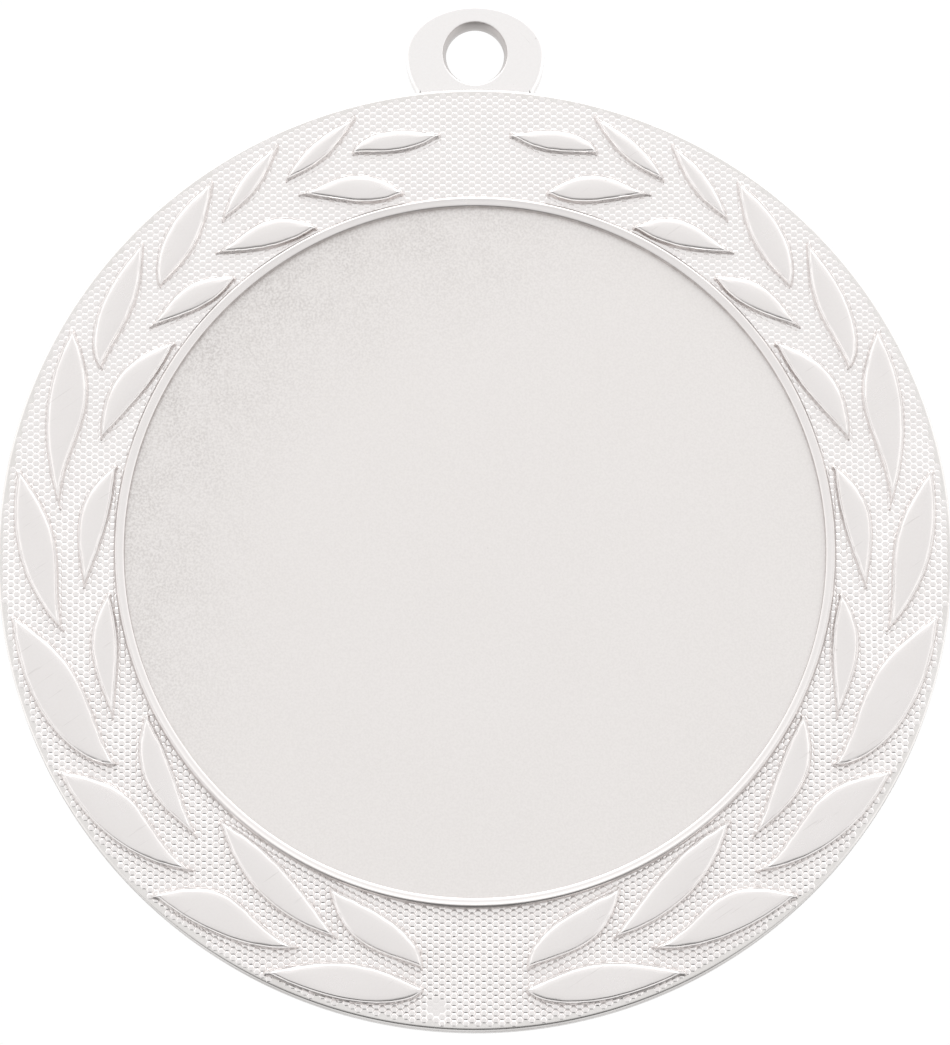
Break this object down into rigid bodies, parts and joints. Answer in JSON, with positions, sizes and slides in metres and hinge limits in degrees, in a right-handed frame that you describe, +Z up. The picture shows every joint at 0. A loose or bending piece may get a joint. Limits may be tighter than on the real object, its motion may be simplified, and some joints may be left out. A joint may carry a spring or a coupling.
{
  "type": "award medal",
  "caption": "Round cast award medal with a hanging eye, a raised laurel wreath on a honeycomb ground and a round seat for an emblem.",
  "frame": {"origin": "centre of the hanging eye's hole, halfway through the eye", "axes": "+Z up as the medal hangs, -Y out of the front, +X to the right of someone looking at the front"},
  "size_m": [0.07, 0.0036, 0.0767],
  "materials": {
    "cast_silver": "silver plating over a cast honeycomb ground, a satin seat and a plain back",
    "relief_silver": "bright silver plating on smooth raised leaves and rim",
    "eye_silver": "silver plating over smooth casting"
  },
  "bodies": {
    "root": {"medal_disc": "cast_silver", "seat_rim": "relief_silver", "hanging_eye": "eye_silver", "leaf_right_outer_01": "relief_silver", "leaf_right_outer_02": "relief_silver", "leaf_right_outer_03": "relief_silver", "leaf_right_outer_04": "relief_silver", "leaf_right_outer_05": "relief_silver", "leaf_right_outer_06": "relief_silver", "leaf_right_outer_07": "relief_silver", "leaf_right_outer_08": "relief_silver", "leaf_right_outer_09": "relief_silver", "leaf_right_outer_10": "relief_silver", "leaf_right_outer_11": "relief_silver", "leaf_right_inner_01": "relief_silver", "leaf_right_inner_02": "relief_silver", "leaf_right_inner_03": "relief_silver", "leaf_right_inner_04": "relief_silver", "leaf_right_inner_05": "relief_silver", "leaf_right_inner_06": "relief_silver", "leaf_right_inner_07": "relief_silver", "leaf_right_inner_08": "relief_silver", "leaf_right_inner_09": "relief_silver", "leaf_left_outer_01": "relief_silver", "leaf_left_outer_02": "relief_silver", "leaf_left_outer_03": "relief_silver", "leaf_left_outer_04": "relief_silver", "leaf_left_outer_05": "relief_silver", "leaf_left_outer_06": "relief_silver", "leaf_left_outer_07": "relief_silver", "leaf_left_outer_08": "relief_silver", "leaf_left_outer_09": "relief_silver", "leaf_left_outer_10": "relief_silver", "leaf_left_outer_11": "relief_silver", "leaf_left_inner_01": "relief_silver", "leaf_left_inner_02": "relief_silver", "leaf_left_inner_03": "relief_silver", "leaf_left_inner_04": "relief_silver", "leaf_left_inner_05": "relief_silver", "leaf_left_inner_06": "relief_silver", "leaf_left_inner_07": "relief_silver", "leaf_left_inner_08": "relief_silver", "leaf_left_inner_09": "relief_silver"}
  },
  "joints": []
}
